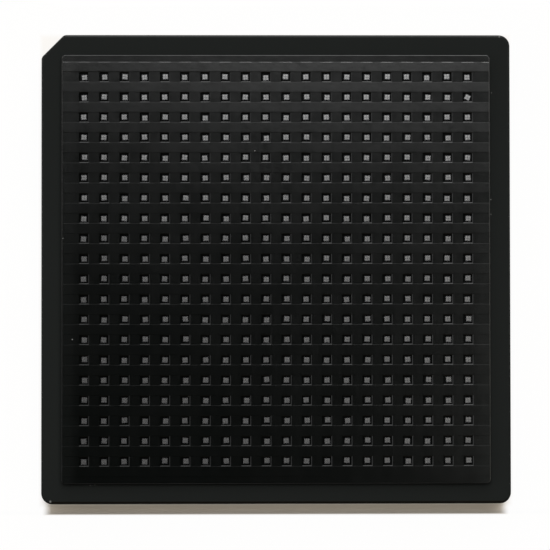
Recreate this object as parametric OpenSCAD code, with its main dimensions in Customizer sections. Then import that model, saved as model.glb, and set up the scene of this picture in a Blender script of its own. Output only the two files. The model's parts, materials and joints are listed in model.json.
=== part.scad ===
// Two-inch die carrier tray, loaded: one moulded tray of black static-safe plastic
// with a field of small pockets, and a bare silicon die lying loose in each pocket.
// The origin is the centre of the underside and +Z is up. The field's rows run along X,
// the first row is at +Y, and the cut corner that keys the tray is at -X +Y.

/* [Tray] */
// Side of the square tray
tray_side = 50.8; // [40:0.1:102]
// Height from the foot of the tray to the tops of the field's ribs
tray_h = 3.96; // [3.4:0.01:6]
// Leg of the cut corner that shows which way round the tray lies
key_leg = 2.45; // [1.5:0.05:4]
// Radius of the other three corners
corner_r = 1.2; // [0.8:0.1:3]
// Radius of the moulded outer edges
edge_r = 0.3; // [0.1:0.05:0.35]

/* [Pocket field] */
// Width of the rim, from the tray's edge to the foot of the raised field
rim_w = 2.16; // [1.5:0.01:3]
// Height of the ribs' tops above the rim
field_step = 0.7; // [0.5:0.05:1.5]
// Slope of the field's side walls from upright, in degrees
field_draft = 8; // [2:1:15]
// Radius of the field's corners, where its flat top ends
field_r = 0.3; // [0.1:0.05:1]
// Radius of the field's top edge
field_edge_r = 0.1; // [0.05:0.01:0.25]
// Least room kept between the outer pockets' cells and the edge of the flat top
field_margin = 1; // [0.5:0.05:3]

/* [Pockets] */
// Distance from one pocket to the next, both ways
pocket_pitch = 2.184; // [1.8:0.002:6]
// Height of the low ribs that stand between the rows of pockets
rib_h = 0.05; // [0.04:0.01:0.4]
// Depth of a pocket below the feet of the ribs
pocket_d = 0.35; // [0.25:0.01:0.6]
// Slope of the pocket walls and the ribs' sides from upright, in degrees
wall_draft = 4; // [1:1:10]
// Width of the lead-in bevel round a pocket's mouth
mouth_bevel_w = 0.08; // [0.03:0.005:0.12]
// Width of the bevel along the ribs' top edges
rib_bevel_w = 0.015; // [0.005:0.005:0.06]
// Width of the bevel along the rib behind the first row, which is the field's back rib
back_rib_bevel_w = 0.05; // [0.005:0.005:0.06]
// Slope of these bevels from flat, in degrees
bevel_angle = 30; // [20:1:40]
// Width of the ledge between a pocket's mouth and the rib beside it
ledge_w = 0.005; // [0.005:0.005:0.05]

/* [Dies] */
// Side of a square die
die_w = 0.6; // [0.3:0.01:1]
// Thickness of a die
die_t = 0.2; // [0.1:0.01:0.25]
// Room between a centred die and the pocket wall at the floor
die_slack = 0.14; // [0.05:0.001:0.2]
// Largest turn of an ordinary die, as a share of the turn its pocket lets it make
turn_share = 0.09; // [0:0.01:0.5]
// Largest shift of a die, as a share of the room that its pocket leaves it
shift_share = 0.55; // [0:0.05:1]
// Row of the one die that lies askew
askew_row = 2; // [1:1:20]
// Column of the one die that lies askew
askew_column = 20; // [1:1:20]
// Turn of the askew die, as a share of the turn its pocket lets it make, minus if clockwise
askew_share = -0.6; // [-1:0.01:1]

/* [Stacking] */
// Room at each side between the field and the recess of the tray stacked on it
stack_side_gap = 0.15; // [0.05:0.01:0.3]
// Room above the field in the recess of the tray stacked on it
stack_top_gap = 0.15; // [0.05:0.01:0.3]

/* [Hidden] */
// How far a cutting shape runs past the face that it cuts
over = 0.4;
// How far the root of the field or of a rib runs down into what carries it
root = 0.4;
// Steps round a full turn on the blended corners, and round an edge
corner_fn = 32;
edge_fn = 16;
// Seed of the places where the dies came to rest
rest_seed = 4100;

rim_z = tray_h - field_step;
// Height of the field's flat top, where the ribs stand, and of the pockets' floors
field_z = tray_h - rib_h;
pocket_floor_z = field_z - pocket_d;

field_slope = tan(field_draft);
field_wall_h = field_z - rim_z - field_edge_r * (1 - sin(field_draft));
// How far the field spreads from the edge of its flat top to its foot
field_spread = field_edge_r * cos(field_draft) + field_wall_h * field_slope;
field_side = tray_side - 2 * (rim_w + field_spread);
// Distance of the field's corner centres from its middle lines
field_corner = field_side / 2 - field_r;
field_foot_r = field_r + field_spread;

pocket_count = floor((field_side - 2 * field_margin) / pocket_pitch);
pocket_floor_w = die_w + 2 * die_slack;

wall_slope = tan(wall_draft);
mouth_bevel_h = mouth_bevel_w * tan(bevel_angle);
// Width of a pocket's mouth, of the lane between two ribs, and of a rib's foot
mouth_w = pocket_floor_w + 2 * (pocket_d - mouth_bevel_h) * wall_slope + 2 * mouth_bevel_w;
lane_w = mouth_w + 2 * ledge_w;
rib_foot_w = pocket_pitch - lane_w;

// Right half of a pocket's section, from above its mouth at height 0 to its floor
pocket_half = [
    [mouth_w / 2, rib_h / 2],
    [mouth_w / 2, 0],
    [mouth_w / 2 - mouth_bevel_w, -mouth_bevel_h],
    [pocket_floor_w / 2, -pocket_d]
];
// Rounded top edge of the field, from its wall up to its flat top, at a corner's post
field_edge = [
    for (i = [0 : edge_fn / 4])
        let (a = field_draft + (90 - field_draft) * 4 * i / edge_fn)
            [field_r + field_edge_r * cos(a), field_z - field_edge_r * (1 - sin(a))]
];

recess_d = field_step + stack_top_gap;

// The turn at which a die's corners would meet its pocket's walls
free_turn = asin(min(1, pocket_floor_w / (die_w * sqrt(2)))) - 45;

// Radius of the cut corner's two edges, and how far it sets their centres off
key_r = 2 * edge_r;
key_offset = key_r * tan(45 / 2);

// Centre and radius of each rounded corner of the plate, clockwise from the cut corner
half = tray_side / 2;
plate_corners = [
    [-half + key_leg + key_offset, half - key_r, key_r],
    [half - corner_r, half - corner_r, corner_r],
    [half - corner_r, -half + corner_r, corner_r],
    [-half + corner_r, -half + corner_r, corner_r],
    [-half + key_r, half - key_leg - key_offset, key_r]
];

function row_name(row) = str("die_row_", row < 10 ? "0" : "", row);

// Middle of a column or a row, counted from 1 at -X and at +Y
function column_x(column) = (column - (pocket_count + 1) / 2) * pocket_pitch;
function row_y(row) = ((pocket_count + 1) / 2 - row) * pocket_pitch;

function is_askew(row, column) = row == askew_row && column == askew_column;

// A die's three chance values from -1 to 1: its turn and its shifts along X and Y
function chance(row, column) = rands(-1, 1, 3, rest_seed + 100 * row + column);

function die_turn(row, column) =
    free_turn * (is_askew(row, column) ? askew_share : turn_share * chance(row, column)[0]);

// Room left on each side of a die that lies turned in its pocket
function die_room(turn) =
    max(0, pocket_floor_w - die_w * (cos(turn) + sin(abs(turn)))) / 2;

function die_shift(row, column, axis) =
    shift_share * chance(row, column)[axis] * die_room(die_turn(row, column));

// Right half of a rib's section, from its top to its root
function rib_half(bevel_w) =
    let (
        bevel_z = rib_h - bevel_w * tan(bevel_angle),
        side = rib_foot_w / 2 - bevel_z * wall_slope
    )
    [[side - bevel_w, rib_h], [side, bevel_z], [rib_foot_w / 2, 0], [rib_foot_w / 2, -root]];

// One ring of a plate's rounded edge, at a corner of radius r
module edge_ring(r)
    rotate_extrude($fn = corner_fn)
        translate([r - edge_r, 0])
            circle(edge_r, $fn = edge_fn);

// The tray's flat plate, with every outer edge rounded and one corner cut
module plate()
    hull()
        for (corner = plate_corners)
            for (z = [edge_r, rim_z - edge_r])
                translate([corner[0], corner[1], z])
                    edge_ring(corner[2]);

// Sets its children at each corner of the field
module field_corners()
    for (x = [-field_corner, field_corner])
        for (y = [-field_corner, field_corner])
            translate([x, y, 0])
                children();

// The raised field before it gets its ribs and pockets: leaning walls and a rounded top edge
module field_block()
    hull()
        field_corners()
            rotate_extrude($fn = corner_fn)
                polygon(concat(
                    [[0, rim_z - root], [field_foot_r + root * field_slope, rim_z - root]],
                    field_edge,
                    [[0, field_z]]
                ));

// The hollow underneath, into which the field of the tray below goes when trays are stacked
module stacking_recess()
    hull()
        field_corners()
            translate([0, 0, -over])
                cylinder(
                    r1 = field_foot_r + stack_side_gap + over * field_slope,
                    r2 = field_foot_r + stack_side_gap - recess_d * field_slope,
                    h = recess_d + over,
                    $fn = corner_fn
                );

// A bar along X over the whole flat top, from the points of its section's right half
module field_bar(points)
    rotate([90, 0, 90])
        linear_extrude(field_side, center = true)
            polygon(concat(points, [for (i = [len(points) - 1 : -1 : 0]) [-points[i][0], points[i][1]]]));

// The ribs that keep the rows apart, with one beyond the first row and one beyond the last
module ribs()
    for (gap = [0 : pocket_count])
        translate([0, row_y(gap + 0.5), field_z])
            field_bar(rib_half(gap == 0 ? back_rib_bevel_w : rib_bevel_w));

module pocket_bars()
    for (row = [1 : pocket_count])
        translate([0, row_y(row), field_z])
            field_bar(pocket_half);

// What the mould's insert fills: bars along the rows and the columns cross at the pockets
module pocket_core()
    intersection() {
        pocket_bars();
        rotate(90) pocket_bars();
    }

module tray()
    color([0.12, 0.13, 0.125])
        difference() {
            union() {
                plate();
                field_block();
                ribs();
            }
            stacking_recess();
            pocket_core();
        }

// A sawn silicon die, standing on z = 0
module die()
    translate([-die_w / 2, -die_w / 2, 0])
        cube([die_w, die_w, die_t]);

// The dies of one row, each on its pocket's floor where it came to rest
module die_row(row)
    color([0.55, 0.55, 0.56])
        for (column = [1 : pocket_count])
            translate([
                column_x(column) + die_shift(row, column, 1),
                row_y(row) + die_shift(row, column, 2),
                pocket_floor_z
            ])
                rotate([0, 0, die_turn(row, column)])
                    die();

tray();
for (row = [1 : pocket_count])
    die_row(row);
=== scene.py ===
import json
from functools import reduce
from math import pi, radians

import bpy
import numpy as np
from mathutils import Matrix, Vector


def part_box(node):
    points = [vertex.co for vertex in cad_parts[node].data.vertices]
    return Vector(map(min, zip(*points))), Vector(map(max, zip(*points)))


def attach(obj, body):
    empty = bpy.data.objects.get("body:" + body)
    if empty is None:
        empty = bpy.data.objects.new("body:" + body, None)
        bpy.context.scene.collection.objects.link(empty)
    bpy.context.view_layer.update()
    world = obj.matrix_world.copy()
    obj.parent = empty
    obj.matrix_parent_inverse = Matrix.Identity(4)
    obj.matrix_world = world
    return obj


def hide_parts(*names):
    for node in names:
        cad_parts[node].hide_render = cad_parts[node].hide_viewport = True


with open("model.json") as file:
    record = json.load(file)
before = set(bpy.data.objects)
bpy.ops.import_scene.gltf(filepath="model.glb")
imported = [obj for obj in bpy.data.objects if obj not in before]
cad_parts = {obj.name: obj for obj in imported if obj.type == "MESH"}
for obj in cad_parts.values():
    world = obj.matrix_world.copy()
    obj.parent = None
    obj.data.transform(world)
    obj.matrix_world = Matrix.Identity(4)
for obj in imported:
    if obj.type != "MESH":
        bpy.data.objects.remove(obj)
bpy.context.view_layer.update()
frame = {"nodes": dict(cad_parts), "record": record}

# The tray
# One injection moulding of black, carbon-filled, static-safe plastic. The steel insert that forms
# the pocket field is polished, so the field comes out satin. The rim, the sides and the underside
# have the matte skin of a spark-eroded mould. Sizes in this file are millimetres.

MM = 0.001
tray = frame["nodes"]["tray"]
tray_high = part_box("tray")[1]
tray_half = tray_high.x / MM
rib_top = tray_high.z / MM
mount_places = {mount["name"]: mount["pos_m"] for mount in frame["record"]["mounts"]}
rim_top = mount_places["rim_ledge"][2] / MM
rim_width = 2.16
rib_height = 0.05
pocket_count = 20
pocket_pitch = 2.184
lane_half = 0.546
mouth_bevel_depth = 0.046
rib_bevel_drop = 0.009
edge_radius = 0.3
field_foot = tray_half - rim_width
field_top = rib_top - rib_height
mouth_foot = field_top - mouth_bevel_depth
back_rib_middle = pocket_count / 2 * pocket_pitch
lane_share = lane_half / pocket_pitch

MATTE_BLACK = (0.0095, 0.0107, 0.0101, 1)
SATIN_BLACK = (0.0005, 0.0009, 0.0007, 1)
# Painted shade on the front outer edge, dark brown
FRONT_EDGE_SHADE = (0.0045, 0.0034, 0.002, 1)
# Painted highlight along the raised field's side edges
SIDE_HIGHLIGHT_GREY = (0.024, 0.024, 0.0235, 1)
# Dust, and the pale painted highlight on the back rib's bevel
DUST_AND_HIGHLIGHT_GREY = (0.16, 0.16, 0.155, 1)

# Where a finish, a painted shade or a painted highlight begins and where it is full: distances from
# the tray's middle, then heights
FIELD_EDGE = (field_foot - 0.02, field_foot + 0.02)
PLAIN_BORDER = (field_foot - 1.2, field_foot - 1.0)
PALE_SIDES = (21.4, 22.6)
# The painted highlight along the field's sides
SIDE_HIGHLIGHT_EDGE = (field_foot - 0.22, field_foot - 0.14)
RUBBED_EDGE = (tray_half - edge_radius, tray_half - 0.3 * edge_radius)
RUBBED_BACK = (-20, 10)
# The front edge's painted shade
SHADED_FRONT_EDGE = (tray_half - 0.38, tray_half - 0.16)
BACK_RIB = (back_rib_middle, back_rib_middle + 0.1)
DUST_FOOT = (rim_top - 0.4, rim_top)
FIELD_WALL = (rim_top + 0.02, rim_top + 0.08)
POCKET_TOP = (mouth_foot - 0.03, mouth_foot - 0.005)
LIP_FOOT = (mouth_foot - 0.006, mouth_foot + 0.002)
LIP_TOP = (field_top - 0.006, field_top - 0.001)
BEVEL_FOOT = (field_top + 0.015, rib_top - rib_bevel_drop)
BEVEL_TOP = (rib_top - 0.001, rib_top - 0.0002)
# The same across one pitch, which counts as 1, from the middle of a rib to the next
LANE_FRONT = (0.49 - lane_share, 0.5 - lane_share)
LANE_BACK = (0.47 + lane_share, 0.62 + lane_share)

# How strong a wear or a painted highlight is at the tray's middle, and what each millimetre in X
# and in Y adds
LANE_WEAR = (0.12, 0.006, 0.018)
LIP_WEAR = (0.4, -0.009, 0)
RIB_WEAR = (0.5, -0.012, -0.015)
# Strength of the painted highlight along the field's sides
SIDE_HIGHLIGHT = (0.5, 0.006, 0.02)
# Strength of the painted highlight on the back rib's bevel
COLUMN_HIGHLIGHT = (0.5, 0.02, 0)
least_lane_wear = 0.1
back_rib_wear = 0.6
pocket_wear = 0.75

matte_roughness = 0.62
satin_roughness = 0.143
rubbed_satin = 0.25
pale_share = 0.25
grain_height = 0.004
ripple_height = 0.003

# Specks of dust and nicks, and one rubbed patch: place on the tray, radius and strength
SPECKS = [
    (-2.3, 12.75, 0.07, 1),
    (-9.5, -13.8, 0.06, 1),
    (-22.0, -7.6, 0.07, 1),
    (-23.0, 3.3, 0.05, 1),
    (23.4, 19.1, 0.05, 1),
    (23.3, 7.5, 0.06, 1),
    (23.3, 5.9, 0.05, 1),
    (-24.4, -25.1, 0.12, 1),
    (-20.1, -23.35, 0.07, 0.5),
    (-19.6, -23.3, 0.06, 0.5),
    (24.27, 25.2, 0.08, 0.8),
    (-22.6, 21.6, 0.8, 0.025),
]


class Wire:
    """A socket of a shader tree. Sums and products of wires and numbers add Math nodes."""

    def __init__(self, tree, socket=None):
        self.tree = tree
        self.socket = socket

    def node(self, kind, settings=None, sockets=None, output=0):
        """Adds a node from its type, its settings, and the values or wires of its sockets."""
        made = self.tree.nodes.new("ShaderNode" + kind)
        for name, value in (settings or {}).items():
            setattr(made, name, value)
        for name, value in (sockets or {}).items():
            if isinstance(value, Wire):
                self.tree.links.new(value.socket, made.inputs[name])
            else:
                made.inputs[name].default_value = value
        return Wire(self.tree, made.outputs[output] if made.outputs else None)

    def math(self, operation, *values):
        """A Math node on these values."""
        return self.node("Math", {"operation": operation}, dict(enumerate(values)))

    def __add__(self, other):
        return self.math("ADD", self, other)

    def __sub__(self, other):
        return self.math("SUBTRACT", self, other)

    def __rsub__(self, other):
        return self.math("SUBTRACT", other, self)

    def __mul__(self, other):
        return self.math("MULTIPLY", self, other)

    def __neg__(self):
        return self.math("MULTIPLY", self, -1)

    __radd__ = __add__
    __rmul__ = __mul__

    def size(self):
        return self.math("ABSOLUTE", self)

    def cosine(self):
        return self.math("COSINE", self)

    def fraction(self):
        return self.math("FRACT", self)

    def larger(self, other):
        return self.math("MAXIMUM", self, other)

    def rise(self, low, high):
        """0 below low, 1 above high, and a smooth step between them."""
        smooth = {"interpolation_type": "SMOOTHSTEP"}
        return self.node("MapRange", smooth, {"Value": self, "From Min": low, "From Max": high})

    def colour(self, first, second):
        """The first colour where this wire is 0, the second where it is 1, a mix between."""
        return self.node("Mix", {"data_type": "RGBA"}, {0: self, 6: first, 7: second}, 2)

    def parts(self):
        """X, Y and Z of a vector, each as a wire."""
        split = self.node("SeparateXYZ", None, {0: self})
        return [Wire(self.tree, socket) for socket in split.socket.node.outputs]

    def stretched(self, along_x, along_y, along_z):
        """A vector with each of its parts multiplied."""
        by = {0: self, 1: (along_x, along_y, along_z)}
        return self.node("VectorMath", {"operation": "MULTIPLY"}, by)

    def noise(self, scale, detail=2.0):
        """Cloudy noise at this wire's places, about 0.5 on average."""
        return self.node("TexNoise", None, {"Vector": self, "Scale": scale, "Detail": detail})


def new_material(name):
    """An empty material, a first wire in its tree, and the place on the object in millimetres."""
    material = bpy.data.materials.new(name)
    material.use_nodes = True
    material.node_tree.nodes.clear()
    wire = Wire(material.node_tree)
    place = wire.node("TexCoord", output="Object").stretched(1 / MM, 1 / MM, 1 / MM)
    return material, wire, place


def drift(x, y, wear):
    """A strength that changes evenly over the tray, from its value at the middle and its two slopes."""
    middle, for_x, for_y = wear
    return middle + for_x * x + for_y * y


def moulded_plastic():
    """Matte skin, with a satin one on the raised field and on the rubbed outer edge, mixed by place."""
    material, wire, place = new_material("static_safe_plastic")
    x, y, z = place.parts()
    aside = x.size()
    reach = aside.larger(y.size())

    # The raised field, the insides of its pockets, and the outer edge, which is rubbed towards the back
    raised = (1 - reach.rise(*FIELD_EDGE)) * z.rise(*FIELD_WALL)
    pocket = (1 - z.rise(*POCKET_TOP)) * (1 - reach.rise(*PLAIN_BORDER))
    rubbed = reach.rise(*RUBBED_EDGE) * y.rise(*RUBBED_BACK)

    # The lanes of the pockets are less polished than the ribs: sharply so in front, softly behind
    along = (y * (1 / pocket_pitch)).fraction()
    lane = along.rise(*LANE_FRONT) * (1 - along.rise(*LANE_BACK))

    # Bevels round the pockets and along the field's top edge shine, more so towards the right
    lip = z.rise(*LIP_FOOT) * (1 - z.rise(*LIP_TOP))
    dull_lane = lane * drift(x, y, LANE_WEAR).larger(least_lane_wear)
    dull = dull_lane * (1 - lip) + drift(x, y, LIP_WEAR) * lip

    # The ribs' bevels are worn dull, least of all at the back right. The back rib's bevel has a pale
    # painted highlight in line with the columns, and is worn dull between them
    columns = 0.5 - 0.5 * (x * (2 * pi / pocket_pitch)).cosine()
    bevel = z.rise(*BEVEL_FOOT) * (1 - z.rise(*BEVEL_TOP))
    back_rib = y.rise(*BACK_RIB)
    column_highlight = back_rib * columns.rise(0.2, 0.6)
    worn = drift(x, y, RIB_WEAR) * (1 - back_rib) + back_rib_wear * (back_rib - column_highlight)
    worn = bevel * worn

    # Dust: round specks with a soft edge
    flat_place = place.stretched(1, 1, 0)
    specks = []
    for speck_x, speck_y, radius, strength in SPECKS:
        spot = {0: flat_place, 1: (speck_x, speck_y, 0)}
        away = wire.node("VectorMath", {"operation": "DISTANCE"}, spot, "Value")
        specks.append(strength * (1 - away.rise(0.2 * radius, 1.5 * radius)))
    dust = reduce(Wire.larger, specks) * z.rise(*DUST_FOOT)

    # The front edge has a painted dark brown shade. The field is paler along its sides, with a painted
    # highlight at their edges. Over the columns the back rib's bevel has a pale painted highlight
    outer = (-y).rise(*SHADED_FRONT_EDGE).colour(MATTE_BLACK, FRONT_EDGE_SHADE)
    inner = (pale_share * aside.rise(*PALE_SIDES)).colour(SATIN_BLACK, MATTE_BLACK)
    inner = (aside.rise(*SIDE_HIGHLIGHT_EDGE) * drift(x, y, SIDE_HIGHLIGHT).larger(0)).colour(inner, SIDE_HIGHLIGHT_GREY)
    inner = (column_highlight * bevel * drift(x, y, COLUMN_HIGHLIGHT)).colour(inner, DUST_AND_HIGHLIGHT_GREY)
    skin_colour = dust.colour(raised.colour(outer, inner), DUST_AND_HIGHLIGHT_GREY)

    # Cloudy gloss everywhere, faint polishing streaks and mottling on the field, and a fine grain
    clouds = place.noise(0.22, 3.0) - 0.5
    streaks = place.stretched(7.0, 0.5, 1.0).noise(1.0) - 0.5
    mottle = place.noise(1.2, 4.0)
    grain = {"Strength": 0.5, "Distance": grain_height * MM, "Height": place.noise(9.0, 3.0)}
    ripple = {"Strength": 0.5, "Distance": ripple_height * MM, "Height": place.noise(2.2, 2.0)}
    matte = wire.node("BsdfPrincipled", None, {
        "Base Color": skin_colour,
        "Roughness": matte_roughness + 0.12 * clouds,
        "Specular IOR Level": 0.03,
        "Normal": wire.node("Bump", None, grain),
    })
    satin = wire.node("BsdfPrincipled", None, {
        "Base Color": skin_colour,
        "Roughness": satin_roughness - 0.008 * columns + 0.04 * clouds + 0.05 * streaks,
        "Specular IOR Level": 0.5,
        "Normal": wire.node("Bump", None, ripple),
    })
    field = (1 - dull) * (1 - pocket_wear * pocket) * (1 - worn) * (0.6 + 0.8 * mottle)
    share = raised * field + rubbed_satin * (1 - raised) * rubbed
    both = wire.node("MixShader", None, {0: share, 1: matte, 2: satin})
    wire.node("OutputMaterial", None, {"Surface": both})
    return material


plastic = moulded_plastic()
for slot in tray.material_slots:
    slot.material = plastic

# The dies
# Each is a bare silicon chip with a few bipolar transistors, sawn from its wafer. Four bond pads
# of aluminium lie in its corners, and its transistors in the middle. It lies loose in its pocket.

DIE_ROWS = sorted(name for name in frame["nodes"] if name.startswith("die_row_"))
die_side = 0.6
# The profile of a die from its foot to the middle of its face: inset from the side, drop from the top
DIE_PROFILE = np.array([
    (0.0, 0.2),
    (0.0, 0.009),
    (0.007, 0.003),
    (0.034, 0.003),
    (0.037, 0.0),
])
SAWN_SILICON = (0.07, 0.07, 0.075, 1)
OXIDE_GREY = (0.16, 0.162, 0.165, 1)
PAD_METAL = (0.295, 0.295, 0.29, 1)
DEVICE_GREY = (0.13, 0.132, 0.136, 1)
SHADE_GREY = (0.12, 0.12, 0.12, 1)
# Painted shade on the dies of the front rows
DIE_PAINTED_SHADE_GREY = (0.06, 0.06, 0.063, 1)

# Places on a die's face, from 0 at its middle to 1 at its side
pad_middle = 0.46
PAD_EDGE = (0.26, 0.38)
DEVICE_EDGE = (0.12, 0.26)
STREET_EDGE = (0.8, 0.88)
# Painted shade along each die's front side, which widens the saw street there
DIE_FRONT_SHADE = (0.45, 0.85)
finger_phase = 60
# How far in front of the tray's middle the dies' painted shade begins, and how dark it is
PAINTED_SHADE_ROWS = (-5.5, -3.0)
PAINTED_SHADE_STRENGTH = (0.2, -0.008, 0)


def lying_dies(node):
    """Centre, top and turn of each die in a row, from the solid's corners.

    A column's corners lie nearest to its own pocket. The middle of their box is the centre. Taken
    from there as complex numbers, their fourth powers all point half a turn and four times the
    die's turn round.
    """
    vertices = frame["nodes"][node].data.vertices
    corners = np.empty(3 * len(vertices))
    vertices.foreach_get("co", corners)
    corners = corners.reshape(-1, 3) / MM
    column = np.floor(corners[:, 0] / pocket_pitch + pocket_count / 2).astype(int)
    low = np.array([corners[column == number].min(0) for number in range(pocket_count)])
    high = np.array([corners[column == number].max(0) for number in range(pocket_count)])
    centre = (low + high) / 2
    arm = corners[:, :2] - centre[column, :2]
    fourth = (arm[:, 0] + 1j * arm[:, 1]) ** 4
    total = np.bincount(column, fourth.real) + 1j * np.bincount(column, fourth.imag)
    return centre[:, :2], high[:, 2], np.angle(-total) / 4


def sawn_dies(name, centre, top, turn, shade):
    """A row of dies: the profile carried round a square, turned and set down at each centre.

    Every ring of the profile is a square of four corners, so a die is rings times four points,
    with a square of wall between each ring and the next, and a flat face at both ends.
    """
    sides = np.array([(-1, -1), (1, -1), (1, 1), (-1, 1)])
    half = die_side / 2 - DIE_PROFILE[:, 0]
    flat = half[:, None, None] * sides
    spin = np.stack([np.cos(turn), np.sin(turn), -np.sin(turn), np.cos(turn)], -1).reshape(-1, 2, 2)
    across = np.einsum("rsk,nkm->nrsm", flat, spin) + centre[:, None, None, :]
    height = top[:, None, None] - DIE_PROFILE[None, :, 1, None] + np.zeros((1, 1, 4))
    points = np.concatenate([across, height[..., None]], -1)

    rings = len(DIE_PROFILE)
    index = np.arange(points[..., 0].size).reshape(len(centre), rings, 4)
    after = np.roll(index, -1, axis=2)
    walls = np.stack([index[:, :-1], after[:, :-1], after[:, 1:], index[:, 1:]], -1).reshape(-1, 4)
    faces = np.concatenate([walls, index[:, 0, ::-1], index[:, -1]])

    mesh = bpy.data.meshes.new(name)
    mesh.from_pydata(points.reshape(-1, 3) * MM, [], faces)
    # Where each point lies on its die, from -1 to 1 both ways, and the die's own shade
    spot = np.zeros_like(points)
    spot[..., :2] = flat / (die_side / 2)
    spot[..., 2] = shade[:, None, None]
    mesh.attributes.new("die_spot", "FLOAT_VECTOR", "POINT").data.foreach_set("vector", spot.ravel())
    row = bpy.data.objects.new(name, mesh)
    bpy.context.scene.collection.objects.link(row)
    return row


def silicon_face():
    """Sawn silicon, with corner pads, a dark middle and fine fingers drawn by the die's own places."""
    material, wire, place = new_material("die_silicon_face")
    x, y, z = place.parts()
    u, v, shade = wire.node("Attribute", {"attribute_name": "die_spot"}, output="Vector").parts()
    side_u = u.size()
    side_v = v.size()
    edge = side_u.larger(side_v)
    upward = wire.node("NewGeometry", output="Normal").parts()[2].rise(0.6, 0.9)

    # Pads, one of them duller, the transistors between them, and the saw street, widened by painted
    # shade along each die's front side
    to_pad = (side_u - pad_middle).size().larger((side_v - pad_middle).size())
    pad = 1 - to_pad.rise(*PAD_EDGE)
    first_corner = u.rise(0.0, 0.1) * (1 - v.rise(-0.1, 0.0))
    device = 1 - edge.rise(*DEVICE_EDGE)
    fingers = (u * finger_phase).cosine().rise(-0.3, 0.3) * device
    street_and_shade = edge.rise(*STREET_EDGE).larger(0.5 * (-v).rise(*DIE_FRONT_SHADE))
    face = pad.colour(OXIDE_GREY, PAD_METAL)
    face = (first_corner * pad * 0.3).colour(face, OXIDE_GREY)
    face = (device * (0.8 + 0.2 * fingers)).colour(face, DEVICE_GREY)
    face = street_and_shade.colour(face, SAWN_SILICON)
    face = upward.colour(SAWN_SILICON, face)

    # Each die has its own random tone. From a little behind the middle forwards, the dies carry painted
    # shade, most of all at the left
    tint = (shade * 0.2).colour(face, SHADE_GREY)
    painted_shade = (-y).rise(*PAINTED_SHADE_ROWS) * drift(x, y, PAINTED_SHADE_STRENGTH)
    tint = painted_shade.colour(tint, DIE_PAINTED_SHADE_GREY)

    saw = place.stretched(3.0, 3.0, 90.0).noise(1.0) * (1 - upward)
    surface = wire.node("BsdfPrincipled", None, {
        "Base Color": tint,
        "Metallic": 0.5 + 0.1 * upward + 0.22 * pad * upward,
        "Roughness": 0.37 - 0.17 * upward + 0.1 * saw,
        "Normal": wire.node("Bump", None, {"Strength": 0.3, "Distance": 0.002 * MM, "Height": saw}),
    })
    wire.node("OutputMaterial", None, {"Surface": surface})
    return material


silicon = silicon_face()
chance = np.random.default_rng(7)
for row_name in DIE_ROWS:
    centre, top, turn = lying_dies(row_name)
    shade = chance.random(pocket_count)
    dies = sawn_dies(row_name.replace("die_row", "dies"), centre, top, turn, shade)
    dies.data.materials.append(silicon)
    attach(dies, "root")
    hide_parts(row_name)

# The floor
# A wide, pale, warm table top. To the eye it is white, but for a strip close in front of the tray,
# which keeps its own colour and the tray's soft shadow, deepened there by a painted shadow.

TABLE_PALE = (0.78, 0.70, 0.60, 1)
TABLE_PALER = (0.80, 0.72, 0.62, 1)
# The strip's painted shadow
TABLE_PAINTED_SHADOW = (0.46, 0.42, 0.37, 1)
floor_half = 3000
# Where the strip's parts, its painted shadow among them, and the white round it begin and are full,
# from the tray's middle
PAINTED_SHADOW_STRIP = (tray_half + 0.5, tray_half + 1.25)
STRIP_END = (tray_half + 1.2, tray_half + 1.4)
WHITE_BEHIND = (-tray_half - 0.6, -tray_half + 1.6)
WHITE_ASIDE = (tray_half - 1.0, tray_half + 0.2)
WHITE_FULL = (tray_half - 0.1, tray_half + 0.6)
white_most = 0.97
white_close = 0.75


def table_top():
    """Matt and pale, and glowing white to the eye but in front of the tray, where its shadow falls and
    a painted shadow deepens it.
    """
    material, wire, place = new_material("white_table")
    x, y, z = place.parts()
    ahead = (-y).rise(*STRIP_END)
    # A painted shadow, deepening away from the tray towards the strip's end
    painted_shadow = (-y).rise(*PAINTED_SHADOW_STRIP) * (1 - ahead)
    table_colour = place.noise(0.01).colour(TABLE_PALE, TABLE_PALER)
    surface = wire.node("BsdfPrincipled", None, {
        "Base Color": painted_shadow.colour(table_colour, TABLE_PAINTED_SHADOW),
        "Roughness": 0.9,
        "Specular IOR Level": 0.0,
    })
    glow = wire.node("Emission", None, {"Color": (1, 1, 1, 1), "Strength": 1.0})
    kinds = ("Is Camera Ray", "Is Glossy Ray", "Is Transmission Ray")
    seen = reduce(Wire.larger, [wire.node("LightPath", output=kind) for kind in kinds])
    clear = y.rise(*WHITE_BEHIND).larger(ahead).larger(x.size().rise(*WHITE_ASIDE))
    away = x.size().larger(y.size()).rise(*WHITE_FULL)
    white = white_most * seen * clear * (white_close + (1 - white_close) * away)
    both = wire.node("MixShader", None, {0: white, 1: surface, 2: glow})
    wire.node("OutputMaterial", None, {"Surface": both})
    return material


floor_mesh = bpy.data.meshes.new("floor")
floor_corners = np.array([(-1, -1, 0), (1, -1, 0), (1, 1, 0), (-1, 1, 0)]) * floor_half * MM
floor_mesh.from_pydata(floor_corners, [], [(0, 1, 2, 3)])
floor_mesh.materials.append(table_top())
floor = bpy.data.objects.new("floor", floor_mesh)
bpy.context.scene.collection.objects.link(floor)

# The light
# A large soft light behind the tray, towards +Y, weaker ones at its left, its right and in front,
# and almost none straight above, where the camera stands. Level ground gets about 1.2 times what a
# plain sky of strength 1 gives, so colours come out about as written.

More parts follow.
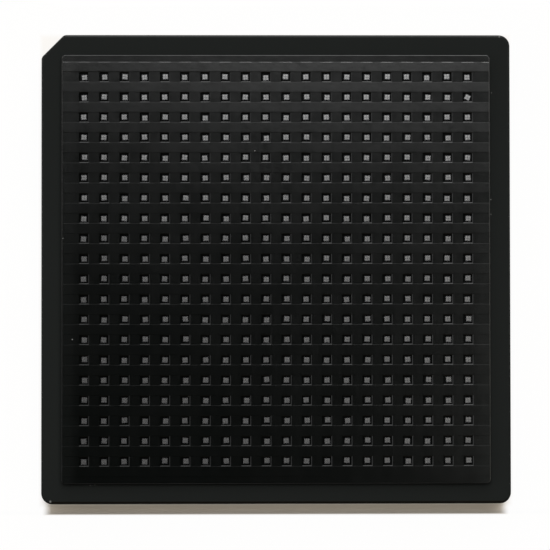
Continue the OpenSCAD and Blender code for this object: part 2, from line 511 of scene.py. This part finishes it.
KEY_LEVEL = 5.8
LEFT_LEVEL = 1.2
RIGHT_LEVEL = 1.7
FRONT_LEVEL = 0.15
DIM_LEVEL = 0.02
WHITE_LIGHT = (1, 1, 1, 1)
RIGHT_TINT = (1, 0.96, 0.8, 1)
FRONT_TINT = (1, 0.86, 0.68, 1)

world = bpy.data.worlds.new("studio")
bpy.context.scene.world = world
world.use_nodes = True
world.node_tree.nodes.clear()
sky = Wire(world.node_tree)
way_x, way_y, way_z = sky.node("TexCoord", output="Generated").parts()

# The light behind: a slanting upper edge, soft sides, an upper part that is bright only along its
# middle, and a lower part that is weaker but for its foot
key = (way_y + 0.15 * way_x).rise(0.072, 0.225) * (1 - (way_x - 0.08).size().rise(0.3, 0.6))
upper_sides = (way_x - 0.015).size().rise(0.02, 0.1) * (1 - way_y.rise(0.2, 0.35))
key = key * (1 - 0.55 * upper_sides)
key = key * (1 - 0.6 * way_y.rise(0.45, 0.65) + 0.4 * way_y.rise(0.84, 0.94))

# The other three: one low at the left, a warm one high at the right, and a warmer one low in front
left = (-way_x).rise(0.5, 0.8)
right = way_x.rise(0.05, 0.3) * (1 - way_x.rise(0.5, 0.7))
right = right * way_y.rise(-0.5, -0.3) * (1 - way_y.rise(0.0, 0.14))
front = (-way_y).rise(0.35, 0.7)
level = DIM_LEVEL + KEY_LEVEL * key + LEFT_LEVEL * left + RIGHT_LEVEL * right + FRONT_LEVEL * front
warmth = front.colour(right.colour(WHITE_LIGHT, RIGHT_TINT), FRONT_TINT)
glow = sky.node("Background", None, {"Color": warmth, "Strength": level})
sky.node("OutputWorld", None, {"Surface": glow})
bpy.context.scene.view_settings.view_transform = "Standard"

# The camera
# It looks almost straight down on the tray, from a little to the front and left, with a long lens.

camera_data = bpy.data.cameras.new("camera")
camera_data.sensor_width = 36
camera_data.lens = 179.55
camera_data.clip_start = 10 * MM
camera = bpy.data.objects.new("camera", camera_data)
camera.location = (-5.155 * MM, -8.2 * MM, 300 * MM)
camera.rotation_euler = (radians(1.457), radians(-0.969), radians(-0.077))
bpy.context.scene.collection.objects.link(camera)
bpy.context.scene.camera = camera
